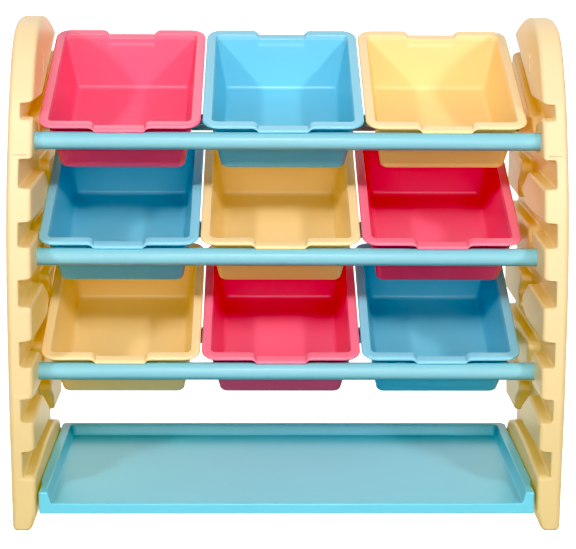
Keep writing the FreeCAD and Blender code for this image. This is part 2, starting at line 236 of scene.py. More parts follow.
# painted light in the materials below: the emission colours paint a glow into the panels and bins, the panel's foot
# colour paints shade towards the bottom, and the bins' rim value paints a paler, lit rim
MAT = {
    "panel_cream": plastic("panel_cream", (228, 204, 168), rough=0.40, vary=0.012, peel=0.0, edge=0.25,
                           painted_glow=(0.160, 0.088, 0.0), painted_foot_shade=(0.78, 0.82, 0.66)),
    "rail_blue": plastic("rail_blue", (137, 197, 210), rough=0.30, vary=0.01, peel=0.0, edge=0.05),
    "tray_blue": plastic("tray_blue", (116, 208, 227), rough=0.28, vary=0.012, peel=0.0, edge=0.25),
    "plug_plastic": plastic("plug_plastic", (232, 228, 214), rough=0.5, vary=0.04, peel=0.06, edge=0.1),
    "bin_pink": plastic("bin_pink", (246, 116, 144), rough=0.27, vary=0.008, peel=0.0, edge=0.20,
                        painted_glow=(0.030, 0.0, 0.0), painted_rim_light=0.05),
    "bin_blue": plastic("bin_blue", (126, 203, 226), rough=0.27, vary=0.008, peel=0.0, edge=0.20,
                        painted_glow=(0.0, 0.006, 0.022), painted_rim_light=0.09),
    "bin_yellow": plastic("bin_yellow", (248, 214, 157), rough=0.27, vary=0.008, peel=0.0, edge=0.20,
                          painted_glow=(0.060, 0.034, 0.0), painted_rim_light=0.08),
    "screw_steel": steel("screw_steel"),
}


# --------------------------------------------------------------- mesh helpers
def make_object(name, verts_mm, faces, normals=None, mat=None, smooth=True):
    me = bpy.data.meshes.new(name)
    me.from_pydata([(float(x) / 1000, float(y) / 1000, float(z) / 1000) for x, y, z in verts_mm], [],
                   [tuple(int(i) for i in f) for f in faces])
    me.validate(clean_customdata=False)
    if smooth:
        me.polygons.foreach_set("use_smooth", [True] * len(me.polygons))
    if mat:
        me.materials.append(MAT[mat])
    if normals is not None and len(normals) == len(me.vertices):
        me.normals_split_custom_set_from_vertices([tuple(float(c) for c in n) for n in normals])
    me.update()
    ob = bpy.data.objects.new(name, me)
    scene.collection.objects.link(ob)
    return ob


def cubic(points, step):
    """Smooth curve through the points (chord-length cubic), sampled about every step mm."""
    p = np.asarray(points, float)
    t = np.r_[0, np.cumsum(np.linalg.norm(np.diff(p, axis=0), axis=1))]
    n = len(p)
    h = np.diff(t)
    a = np.zeros((n, n))
    r = np.zeros((n, 2))
    a[0, 0] = a[-1, -1] = 1
    for i in range(1, n - 1):
        a[i, i - 1], a[i, i], a[i, i + 1] = h[i - 1], 2 * (h[i - 1] + h[i]), h[i]
        r[i] = 6 * ((p[i + 1] - p[i]) / h[i] - (p[i] - p[i - 1]) / h[i - 1])
    m = np.linalg.solve(a, r)
    k = int(t[-1] / step)
    out = []
    for s in np.linspace(0, t[-1], k):
        i = min(max(np.searchsorted(t, s) - 1, 0), n - 2)
        u, v = t[i + 1] - s, s - t[i]
        out.append(m[i] * u ** 3 / (6 * h[i]) + m[i + 1] * v ** 3 / (6 * h[i]) + (p[i] / h[i] - m[i] * h[i] / 6) * u
                   + (p[i + 1] / h[i] - m[i + 1] * h[i] / 6) * v)
    return np.array(out)


def rounded(pts, radii, step=1.4, long_step=7.0):
    """Closed polygon with its corners rounded, as a dense closed polyline."""
    n = len(pts)
    out = []
    pts = [np.array(p, float) for p in pts]
    for i in range(n):
        p0, p1, p2 = pts[i - 1], pts[i], pts[(i + 1) % n]
        a, b = p0 - p1, p2 - p1
        la, lb = np.linalg.norm(a), np.linalg.norm(b)
        a, b = a / la, b / lb
        half = math.acos(max(-1, min(1, float(a @ b)))) / 2
        r = radii[i]
        if r <= 0 or abs(half - math.pi / 2) < 0.01:
            out.append(p1)
            continue
        t = min(r / math.tan(half), 0.48 * la, 0.48 * lb)
        r = t * math.tan(half)
        bis = (a + b) / np.linalg.norm(a + b)
        c = p1 + bis * r / math.sin(half)
        s, e = p1 + a * t, p1 + b * t
        a0 = math.atan2(*(s - c)[::-1])
        a1 = math.atan2(*(e - c)[::-1])
        da = (a1 - a0 + math.pi) % (2 * math.pi) - math.pi
        k = max(3, int(abs(da) * r / step) + 1)
        for q in range(k + 1):
            ang = a0 + da * q / k
            out.append(c + r * np.array([math.cos(ang), math.sin(ang)]))
    res = []
    for i in range(len(out)):
        p, q = out[i], out[(i + 1) % len(out)]
        d = np.linalg.norm(q - p)
        if d < 1e-6:
            continue
        k = max(1, int(round(d / long_step)))
        for j in range(k):
            res.append(p + (q - p) * j / k)
    res = np.array(res)
    area = 0.5 * np.sum(res[:, 0] * np.roll(res[:, 1], -1) - np.roll(res[:, 0], -1) * res[:, 1])
    return res if area > 0 else res[::-1].copy()


def circle(c, r, k=36):
    a = np.linspace(0, 2 * math.pi, k, endpoint=False)
    return np.c_[c[0] + r * np.cos(a), c[1] + r * np.sin(a)]


def outward(poly):
    """Unit outward normal at each vertex of a counter-clockwise closed polyline."""
    e = np.roll(poly, -1, 0) - poly
    e /= np.linalg.norm(e, axis=1)[:, None]
    n = np.c_[e[:, 1], -e[:, 0]]
    v = n + np.roll(n, 1, 0)
    v /= np.linalg.norm(v, axis=1)[:, None]
    c = np.clip(np.sum(v * n, axis=1), 0.5, 1)
    return v, 1 / c


def offset(poly, d):
    """d > 0 moves the polyline outwards."""
    v, k = outward(poly)
    return poly + v * (d * k)[:, None]


def signed(p, poly):
    """Distance inside a closed polyline (positive inside) and its unit gradient."""
    a = poly
    b = np.roll(poly, -1, 0)
    ab = b - a
    l2 = np.sum(ab * ab, axis=1)
    best = np.full(len(p), 1e18)
    q = np.zeros_like(p)
    wind = np.zeros(len(p), int)
    for i in range(len(a)):
        w = p - a[i]
        t = np.clip((w @ ab[i]) / l2[i], 0, 1)
        c = a[i] + t[:, None] * ab[i]
        d = np.sum((p - c) ** 2, axis=1)
        m = d < best
        best[m] = d[m]
        q[m] = c[m]
        up = (a[i][1] <= p[:, 1]) & (b[i][1] > p[:, 1])
        dn = (a[i][1] > p[:, 1]) & (b[i][1] <= p[:, 1])
        cr = ab[i][0] * w[:, 1] - ab[i][1] * w[:, 0]
        wind += (up & (cr > 0)).astype(int) - (dn & (cr < 0)).astype(int)
    d = np.sqrt(best)
    s = np.where(wind != 0, 1.0, -1.0)
    g = (p - q) / np.maximum(d, 1e-9)[:, None] * s[:, None]
    return d * s, g


def near(p, poly, margin):
    lo, hi = poly.min(0) - margin, poly.max(0) + margin
    return np.all((p > lo) & (p < hi), axis=1)


def step_profile(u, height, rt, rb, w=0.22):
    """A raised edge seen from the side: flat, fillet, steep wall, rounded top. u is the distance inside the edge."""
    h = np.zeros_like(u)
    m = (u > -rb - w) & (u <= -w)
    x = u[m] + rb + w
    h[m] = rb - np.sqrt(np.maximum(rb * rb - x * x, 0))
    m = (u > -w) & (u <= w)
    h[m] = rb + (height - rt - rb) * (u[m] + w) / (2 * w)
    m = (u > w) & (u < w + rt)
    x = w + rt - u[m]
    h[m] = height - rt + np.sqrt(np.maximum(rt * rt - x * x, 0))
    h[u >= w + rt] = height
    return h


def edge_round(v, r):
    """How far a surface drops where it turns over the part's outer edge. v is the distance inside that edge."""
    x = np.clip(r - v, 0, r)
    return r - np.sqrt(np.maximum(r * r - x * x, 0))


def arc_stops(r, w, k, side):
    a = np.linspace(0, math.pi / 2, k + 1)
    if side > 0:
        return [w + r * (1 - math.cos(t)) for t in a]
    return [-(w + r * (1 - math.cos(t))) for t in a]


def triangulate(rings, outline):
    """Constrained triangles of everything inside the outline."""
    vs, es = [], []
    for ring in rings:
        closed = True
        if isinstance(ring, tuple):
            ring, closed = ring
        b = len(vs)
        vs.extend(Vector((float(x), float(y))) for x, y in ring)
        k = len(ring)
        es.extend((b + i, b + (i + 1) % k) for i in range(k if closed else k - 1))
    v2, e2, f2, _, _, _ = delaunay_2d_cdt(vs, es, [], 0, 1e-5, False)
    p = np.array([(q.x, q.y) for q in v2])
    f = np.array([t for t in f2 if len(t) == 3])
    cen = p[f].mean(1)
    ok = signed(cen, outline)[0] > 0
    f = f[ok]
    used = np.unique(f)
    remap = -np.ones(len(p), int)
    remap[used] = np.arange(len(used))
    p, f = p[used], remap[f]
    ar = (p[f[:, 1], 0] - p[f[:, 0], 0]) * (p[f[:, 2], 1] - p[f[:, 0], 1]) - (p[f[:, 2], 0] - p[f[:, 0], 0]) * (
        p[f[:, 1], 1] - p[f[:, 0], 1])
    f = f[np.abs(ar) > 1e-9]
    ar = ar[np.abs(ar) > 1e-9]
    f[ar < 0] = f[ar < 0][:, ::-1]
    return p, f


def boundary(f):
    """The outer boundary of a triangulation, in counter-clockwise order."""
    seen = {}
    for t in f:
        for i in range(3):
            seen[(int(t[i]), int(t[(i + 1) % 3]))] = True
    nxt = {a: b for (a, b) in seen if (b, a) not in seen}
    best = []
    left = set(nxt)
    while left:
        s = next(iter(left))
        loop = [s]
        left.discard(s)
        c = nxt[s]
        while c != s and c in left:
            loop.append(c)
            left.discard(c)
            c = nxt[c]
        if len(loop) > len(best):
            best = loop
    return best


def slab(outline, top_rings, top_fn, low_rings, low_fn, edge_stops):
    """A plate with relief on both faces.

    top_fn and low_fn take points, v and grad v, and give height and its 2d gradient. Returns vertices (a, b, h),
    faces and normals, with +h the top face's side."""
    rounds = [outline] + [offset(outline, -s) for s in edge_stops]
    tp, tf = triangulate(rounds + top_rings, offset(outline, 0.02))
    loop = boundary(tf)
    rim = tp[loop]
    lp, lf = triangulate([rim] + rounds[1:] + low_rings, offset(outline, 0.02))
    out_v, out_f, out_n = [], [], []

    def face_side(p, f, fn, sign, flip):
        v, g = signed(p, outline)
        v = np.maximum(v, 0.0)
        h, gh = fn(p, v, g)
        n = np.c_[-gh * sign, np.full(len(p), sign)]
        n /= np.linalg.norm(n, axis=1)[:, None]
        e = v < 1e-3
        n[e] = np.c_[-g[e], np.zeros(e.sum())]
        return h, n

    th, tn = face_side(tp, tf, top_fn, 1.0, False)
    lh, ln = face_side(lp, lf, low_fn, -1.0, True)
    # outward direction on the rim itself
    on, _ = outward(rim)
    tn[loop] = np.c_[on, np.zeros(len(on))]
    lk = {(round(float(x), 4), round(float(y), 4)): i for i, (x, y) in enumerate(lp)}
    low_loop = []
    for q in rim:
        k = (round(float(q[0]), 4), round(float(q[1]), 4))
        i = lk.get(k)
        if i is None:
            i = int(np.argmin(np.sum((lp - q) ** 2, axis=1)))
        low_loop.append(i)
    ln[low_loop] = np.c_[on, np.zeros(len(on))]
    nt = len(tp)
    verts = np.r_[np.c_[tp, th], np.c_[lp, lh]]
    norms = np.r_[tn, ln]
    faces = [tuple(t) for t in tf] + [tuple(t[::-1] + nt) for t in lf]
    k = len(loop)
    for i in range(k):
        j = (i + 1) % k
        a, b, c, d = loop[i], loop[j], low_loop[j] + nt, low_loop[i] + nt
        if c != d:
            faces.append((b, a, d, c))
        else:
            faces.append((b, a, d))
    return verts, faces, norms


# ---------------------------------------------------------------- side panels
OUTLINE = [(-80, -472), (-79.5, -440), (-79.5, -392), (-80.5, -345), (-80, -302), (-77, -239), (-73.5, -180),
           (-67.5, -133), (-59.5, -90), (-50, -53), (-37, -15), (-22, 20), (-11, 46), (9, 79), (23, 99), (38, 115),
           (58, 130), (80, 138), (103, 141.5), (130, 142), (155, 139.5), (180, 134), (205, 127), (228, 119),
           (243, 110), (251.5, 93), (256, 68), (258.2, 35), (258.7, 0), (258.7, -55), (258.5, -110), (257.7, -160),
           (255.5, -210), (249.5, -262), (237, -302), (222, -335), (210.5, -366), (204, -395), (203, -420),
           (203, -450), (203, -472)]


def panel_mesh():
    step = 3.0
    curve = cubic(OUTLINE, step)
    foot = [(x, -472.0) for x in np.linspace(203, -80, 60)[1:-1]]
    outline = np.r_[curve, np.array(foot)][::-1].copy()      # counter-clockwise in (y, z)
    outline[:, 0] = np.clip(outline[:, 0], -1e9, 258.65)
    outline[:, 1] = np.clip(outline[:, 1], -472.0, 142.05)
    zc, yc = curve[:, 1], curve[:, 0]
    top_i = int(np.argmax(zc))
    fz, fy = zc[:top_i], yc[:top_i]

    def yf(z):
        return float(np.interp(z, fz, fy))

    def front(z0, z1, out=3.5):
        """points just outside the front contour from height z0 up to z1"""
        return [(yf(z) - out, z) for z in np.linspace(z0, z1, 4)]

    def block(top, low, rear, rt=15.0, rl=9.0, rr=None):
        """front block: front contour, then the corners behind it, given clockwise from the top"""
        f = front(low, top)
        pts = f + rear
        rad = [rl] + [0, 0] + [rt] + rr
        return rounded(pts, rad)

    R = []
    R.append(rounded([(-90, 47.5), (80, 46.5), (145, 74), (300, 137), (300, 260), (-90, 260)], [0, 24, 0, 0, 0, 0]))
    R.append(block(27, -18.5, [(-4, 30), (31, 19), (38, 5), (27, -18.5)], rt=15, rr=[9, 9, 6.5, 7]))
    R.append(block(-51, -91, [(87, -50), (137, -79), (92, -94), (17, -95)], rt=15, rr=[16, 7, 20, 20]))
    R.append(block(-120, -159, [(40, -117), (27, -138), (6, -160)], rt=15, rr=[9, 14, 10]))
    R.append(block(-191.5, -234, [(49, -188), (87, -208), (98, -218), (80, -232), (54, -237)], rt=15,
                   rr=[16, 12, 6.5, 12, 12]))
    R.append(block(-265, -305, [(-1, -264), (7, -281), (-9, -306)], rt=15, rr=[9, 12, 9]))
    R.append(block(-334, -371, [(-25, -329), (16, -326), (68, -355), (89, -373), (35, -376)], rt=15,
                   rr=[0, 16, 12, 6.5, 20]))
    R.append(rounded([(66, 24), (92, 24), (143, 46), (201, 68), (300, 106), (300, -20), (50, -20), (60, 2)],
                     [8, 14, 0, 0, 0, 0, 8, 14]))
    R.append(rounded([(126, -45), (290, -45), (290, -93), (150, -96), (161, -78)], [9, 0, 0, 9, 8]))
    R.append(rounded([(67, -117), (290, -117), (290, -164), (34, -163), (54, -141)], [9, 0, 0, 9, 14]))
    R.append(rounded([(98, -189), (290, -189), (290, -237), (103, -237), (124, -214)], [9, 0, 0, 9, 8]))
    R.append(rounded([(26, -261), (290, -261), (290, -308), (18, -306), (32, -283)], [9, 0, 0, 9, 14]))
    R.append(rounded([(78, -333), (290, -333), (290, -380), (123, -379), (116, -358)], [9, 0, 0, 9, 12]))
    R.append(rounded([(-84, -404), (-26, -400), (37, -395), (130, -395), (180, -409), (190, -425), (191, -500),
                      (-84, -500)], [15, 0, 0, 24, 14, 9, 0, 0]))
    sockets = []
    for i in range(3):
        sockets.append((RAIL_SHIFT[i], -ROW_PITCH * i, 11.25))
        c = (RAIL_SHIFT[i] + REAR_RAIL[0], -ROW_PITCH * i + REAR_RAIL[1])
        sockets.append((c[0], c[1], 11.25))
    holes = [(s[0], s[1], s[2], 9.8) for s in sockets] + [(100.0, 96.0, 3.6, 7.5)]
    slot = rounded([(97, 74), (103, 74), (103, 90), (97, 90)], [2.9] * 4, step=0.8)
    H, RT, RB = FLOOR_X - HALF_SPAN, 4.2, 2.6
    stops = arc_stops(RT, 0.22, 4, 1) + arc_stops(RB, 0.22, 3, -1) + [RT + 1.4]
    rings = []
    lim = offset(outline, 1.0)

    def clip(ring):
        """keeps the stretches of a ring that lie inside the outline"""
        d, _ = signed(ring, lim)
        ok = d > 0
        if ok.all():
            return [ring]
        if not ok.any():
            return []
        out = []
        k = len(ring)
        start = next(i for i in range(k) if ok[i] and not ok[i - 1])
        run = [ring[start - 1]]
        for j in range(start, start + k):
            if ok[j % k]:
                run.append(ring[j % k])
            elif len(run) > 1:
                run.append(ring[j % k])
                out.append((np.array(run), False))
                run = [ring[j % k]]
            else:
                run = [ring[j % k]]
        return out

    for b in R:
        for s in stops:
            rings += clip(offset(b, -s))
    for (y, z, r, dep) in holes:
        for q in (-0.12, 0.12, 0.35, 0.8):
            rings.append(circle((y, z), r + q, 40 if r > 5 else 24))
    for q in (-0.12, 0.12, 0.5, 1.0):
        rings.append(offset(slot, q))
    rings.append((np.array([(y, -449.0) for y in np.linspace(-85, 210, 60)]), False))
    rings.append((np.array([(y, -452.0) for y in np.linspace(-85, 210, 60)]), False))

    def hole_drop(r, r0, dep, lead=0.8):
        """depth at distance r from a hole's axis: rounded lead-in, then straight down"""
        d = np.zeros_like(r)
        m = (r > r0) & (r < r0 + lead)
        x = r0 + lead - r[m]
        d[m] = (lead - np.sqrt(np.maximum(lead ** 2 - x * x, 0)))
        m = (r <= r0 + 1e-9) & (r > r0 - 0.12)
        d[m] = lead + (dep - lead) * (r0 - r[m]) / 0.12
        d[r <= r0 - 0.12] = dep
        return d

    def inner(p, v, g):
        u = np.full(len(p), -99.0)
        gu = np.zeros_like(p)
        for b in R:
            m = near(p, b, 12.0)
            if not m.any():
                continue
            s, gs = signed(p[m], b)
            idx = np.where(m)[0]
            better = s > u[idx]
            u[idx[better]] = s[better]
            gu[idx[better]] = gs[better]
        e = 1e-4
        h = step_profile(u, H, RT, RB)
        dh = (step_profile(u + e, H, RT, RB) - step_profile(u - e, H, RT, RB)) / (2 * e)
        bl = h / H
        r = 2.6 + 3.4 * bl
        er = edge_round(v, r)
        de = (edge_round(v + e, r) - edge_round(np.maximum(v - e, 0), r)) / (np.minimum(v, e) + e)
        out = (OUTER_X - FLOOR_X) + h - er
        gr = gu * dh[:, None] - g * de[:, None]
        for (y, z, r0, dep) in holes:
            w = p - np.array([y, z])
            rr = np.linalg.norm(w, axis=1)
            m = rr < r0 + 0.8
            if m.any():
                q = rr[m]
                base = hole_drop(q, r0, dep)
                db = (hole_drop(q + e, r0, dep) - hole_drop(q - e, r0, dep)) / (2 * e)
                out[m] -= base
                gr[m] -= (w[m] / np.maximum(q, 1e-6)[:, None]) * db[:, None]
        s, gs = signed(p, slot)
        m = s > -1.0
        if m.any():
            q = -s[m]
            base = hole_drop(q + 5, 5.0, 2.0, 1.0)
            db = (hole_drop(q + 5 + e, 5.0, 2.0, 1.0) - hole_drop(q + 5 - e, 5.0, 2.0, 1.0)) / (2 * e)
            out[m] -= base
            gr[m] -= -gs[m] * db[:, None]
        t = np.clip((-449.0 - p[:, 1]) / 23.0, 0, 1)
        out -= 6.5 * t
        gr[:, 1] += np.where((t > 0) & (t < 1), 6.5 / 23.0, 0)
        return out, gr

    screws = [(s[0], s[1]) for s in sockets] + [(15.0, -442.2), (150.0, -442.2)]
    low_rings = []
    for (y, z) in screws:
        for q in (-0.12, 0.12, 0.4, 0.8):
            low_rings.append(circle((y, z), 5.6 + q, 40))

    def outer(p, v, g):
        e = 1e-4
        r = np.full(len(p), 7.0)
        out = edge_round(v, r)
        de = (edge_round(v + e, r) - edge_round(np.maximum(v - e, 0), r)) / (np.minimum(v, e) + e)
        gr = g * de[:, None]
        for (y, z) in screws:
            w = p - np.array([y, z])
            rr = np.linalg.norm(w, axis=1)
            m = rr < 6.4
            if m.any():
                q = rr[m]
                out[m] += hole_drop(q, 5.6, 3.5)
                gr[m] += (w[m] / np.maximum(q, 1e-6)[:, None]) * (
                    (hole_drop(q + e, 5.6, 3.5) - hole_drop(q - e, 5.6, 3.5)) / (2 * e))[:, None]
        return out, gr

    edge_stops = [0.12, 0.45, 1.0, 1.8, 2.7, 3.8, 5.0, 6.0, 7.0, 8.5]
    return slab(outline, rings, inner, low_rings, outer, edge_stops)


V, F, N = panel_mesh()
for side, sx in (("right", 1), ("left", -1)):
    vv = np.c_[sx * (OUTER_X - V[:, 2]), V[:, 0] + YR, V[:, 1] + ZR]
    nn = np.c_[-sx * N[:, 2], N[:, 0], N[:, 1]]
    ff = [tuple(f) if sx < 0 else tuple(f[::-1]) for f in F]
    ob = make_object(side + "_panel_moulding", vv, ff, nn, "panel_cream")
    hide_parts(side + "_side_panel")
    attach(ob, "frame")


# --------------------------------------------------------------------- rails
def lathe_x(name, prof, y, z, mat, seg=72):
    """Turned piece about an axis along X: prof is a closed list of (x, r)."""
    vs, fs = [], []
    k = len(prof)
    for i in range(seg):
        a = 2 * math.pi * i / seg
        for (x, r) in prof:
            vs.append((x, y + r * math.cos(a), z + r * math.sin(a)))
    for i in range(seg):
        j = (i + 1) % seg
        for q in range(k):
            w = (q + 1) % k
            fs.append((i * k + q, i * k + w, j * k + w, j * k + q))
    return make_object(name, vs, fs, None, mat)


HALF = 317.0
for i, row in enumerate(ROWS):
    for kind, dy, dz, ro, ri in (("front", 0.0, 0.0, 11.0, 9.0), ("rear", REAR_RAIL[0], REAR_RAIL[1], 11.0, 9.0)):
        y, z = YR + RAIL_SHIFT[i] + dy, ZR - ROW_PITCH * i + dz
        xs = [-HALF + 0.8, -HALF + 2, -300, -200, -100, 0, 100, 200, 300, HALF - 2, HALF - 0.8]
        prof = [(-HALF, ri + 0.5), (-HALF, ro - 0.8), (-HALF + 0.25, ro - 0.25)] + [(x, ro) for x in xs] + [
            (HALF - 0.25, ro - 0.25), (HALF, ro - 0.8), (HALF, ri + 0.5), (HALF - 0.5, ri), (-HALF + 0.5, ri)]
        ob = lathe_x("%s_rail_tube_%s" % (kind, row), prof, y, z, "rail_blue")
        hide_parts("%s_rail_%s" % (kind, row))
        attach(ob, "frame")

for n in ("left_rail_plugs", "right_rail_plugs"):
    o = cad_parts[n]
    for s in o.material_slots:
        s.material = MAT["plug_plastic"]
for n in ("left_rail_screws", "right_rail_screws", "left_tray_screws", "right_tray_screws"):
    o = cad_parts[n]
    for s in o.material_slots:
        s.material = MAT["screw_steel"]


# ---------------------------------------------------------------------- tray
def tray_mesh():
    yF, yB = -83.6, 204.0
    X = 307.2
    plan = [(-304.0, yF), (304.0, yF), (304.6, yF + 36), (X, yF + 50), (X, yB), (-X, yB), (-X, yF + 50),
            (-304.6, yF + 36)]
    outline = rounded(plan, [2.5, 2.5, 0, 0, 8, 8, 0, 0], long_step=8.0)
    well = rounded([(-290.2, yF - 12), (290.2, yF - 12), (291.2, yF + 6), (292.6, yF + 18), (292.6, yB - 12.0),
                    (-292.6, yB - 12.0), (-292.6, yF + 18), (-291.2, yF + 6)],
                   [0, 0, 20, 14, 6, 6, 14, 20], long_step=8.0)
    H, HW = 14.6, 3.0
    base = -435.7 + 449.1
    stops = [HW * k for k in (-1.35, -1.0, -0.85, -0.65, -0.4, -0.12, 0.12, 0.4, 0.65, 0.85, 1.0, 1.35)]
    lim = offset(outline, 1.0)
    rings = []

    def wall(u):
        """drafted inner wall with rounded foot and top"""
        t = np.clip((u + HW) / (2 * HW), 0, 1)
        return H * t * t * (3 - 2 * t)

    for s in stops:
        r = offset(well, -s)
        d, _ = signed(r, lim)
        ok = d > 0
        k = len(r)
        start = next(i for i in range(k) if ok[i] and not ok[i - 1])
        run = [r[start - 1]]
        for j in range(start, start + k):
            run.append(r[j % k])
            if not ok[j % k]:
                break
        rings.append((np.array(run), False))

    def top(p, v, g):
        e = 1e-4
        s, gs = signed(p, well)
        u, gu = -s, -gs
        h = wall(u)
        dh = (wall(u + e) - wall(u - e)) / (2 * e)
        r = 2.2 + 0.6 * h / H
        er = edge_round(v, r)
        de = (edge_round(v + e, r) - edge_round(np.maximum(v - e, 0), r)) / (np.minimum(v, e) + e)
        return base + h - er, gu * dh[:, None] - g * de[:, None]

    nx, ny = 6, 3
    xs0, xs1, ys0, ys1 = -286.0, 286.0, yF + 3.2, yB - 14.0
    cw = (xs1 - xs0 - (nx - 1) * 2.6) / nx
    ch = (ys1 - ys0 - (ny - 1) * 2.6) / ny
    cells = []
    for i in range(nx):
        for j in range(ny):
            x0, y0 = xs0 + i * (cw + 2.6), ys0 + j * (ch + 2.6)
            cells.append(rounded([(x0, y0), (x0 + cw, y0), (x0 + cw, y0 + ch), (x0, y0 + ch)], [3] * 4, long_step=12))
    low_rings = []
    for c in cells:
        for q in (0.3, 0.0, -0.15, -0.5, -1.2):
            low_rings.append(offset(c, q))

    def low(p, v, g):
        e = 1e-4
        r = np.full(len(p), 1.6)
        out = edge_round(v, r)
        de = (edge_round(v + e, r) - edge_round(np.maximum(v - e, 0), r)) / (np.minimum(v, e) + e)
        gr = g * de[:, None]
        D = 10.2
        for c in cells:
            m = near(p, c, 2.0)
            if not m.any():
                continue
            s, gs = signed(p[m], c)
            h = np.clip((s + 0.0) / 0.15, 0, 1) * (D - 1.0)
            dd = np.where((s > 0) & (s < 0.15), (D - 1.0) / 0.15, 0)
            mm = s > 0.15
            x = np.clip(1.2 - s, 0, 1.05)
            h = h + np.where(mm, np.sqrt(np.maximum(1.05 ** 2 - x ** 2, 0)) / 1.05, 0)
            out[m] += h
            gr[m] += gs * dd[:, None]
        return out, gr

    return slab(outline, rings, top, low_rings, low, [0.1, 0.4, 0.9, 1.5, 2.2, 2.9, 4.0])


V, F, N = tray_mesh()
vv = np.c_[V[:, 0], V[:, 1] + YR, V[:, 2] - 449.1 + ZR]
ob = make_object("tray_moulding", vv, [tuple(f) for f in F], N, "tray_blue")
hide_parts("bottom_tray")
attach(ob, "frame")

# ---------------------------------------------------------------------- bins
BIN_L, BIN_W, BIN_PITCH = 259.8, 197.8, 199.6
DEPTH, WALL, LIP = 75.6, 2.5, 4.2
OVF, OVB, OVX = 11.0, 11.0, 9.0
DF, DB, DX = 0.239, 0.15, 0.175
RIM_R = 20.0
BIN_FRONT = (-9.45, 19.04)
NOTCH_D = 5.8
NOTCH = ((38.2, 0.0), (36.6, 0.03), (34.8, 0.14), (33.2, 0.31), (32.0, 0.50), (31.2, 0.70), (30.6, 0.88), (29.8, 0.98),
         (28.6, 1.0))


def bin_ring(inf, inb, inx, r, d, notch):
    """One closed ring round the bin: insets from the rim's outer edge at front, rear and sides; corner radius; depth;
    how much of the notch's dip it follows."""
    hx = BIN_W / 2 - inx
    s0, s1 = inf, BIN_L - inb
    kc = 8
    half = [52, 44] + [n[0] for n in NOTCH] + [24, 16, 8]
    xs = [-x for x in half] + [0] + half[::-1]
    lim = min(1.0, (hx - r - 1.0) / 52.0)
    xs = [x * lim for x in xs]
    pts = []
    for x in xs:
        pts.append((x, s0))
    cs = [((hx - r, s0 + r), -90), ((hx - r, s1 - r), 0), ((-hx + r, s1 - r), 90), ((-hx + r, s0 + r), 180)]
    for q, ((cx, cy), a0) in enumerate(cs):
        for i in range(kc + 1):
            a = math.radians(a0 + 90.0 * i / kc)
            pts.append((cx + r * math.cos(a), cy + r * math.sin(a)))
        if q == 0:
            for i in range(1, 9):
                pts.append((hx, s0 + r + (s1 - s0 - 2 * r) * i / 9))
        elif q == 1:
            for x in xs[::-1]:
                pts.append((x, s1))
        elif q == 2:
            for i in range(1, 9):
                pts.append((-hx, s1 - r - (s1 - s0 - 2 * r) * i / 9))
    nx = [n[0] for n in NOTCH][::-1]
    nf = [n[1] for n in NOTCH][::-1]
    out = []
    for (x, s) in pts:
        f = float(np.interp(abs(x), nx, nf))
        if not (abs(s - s0) < 1e-6 or abs(s - s1) < 1e-6):
            f = 0.0
        out.append((x, s, d + NOTCH_D * f * notch))
    return out


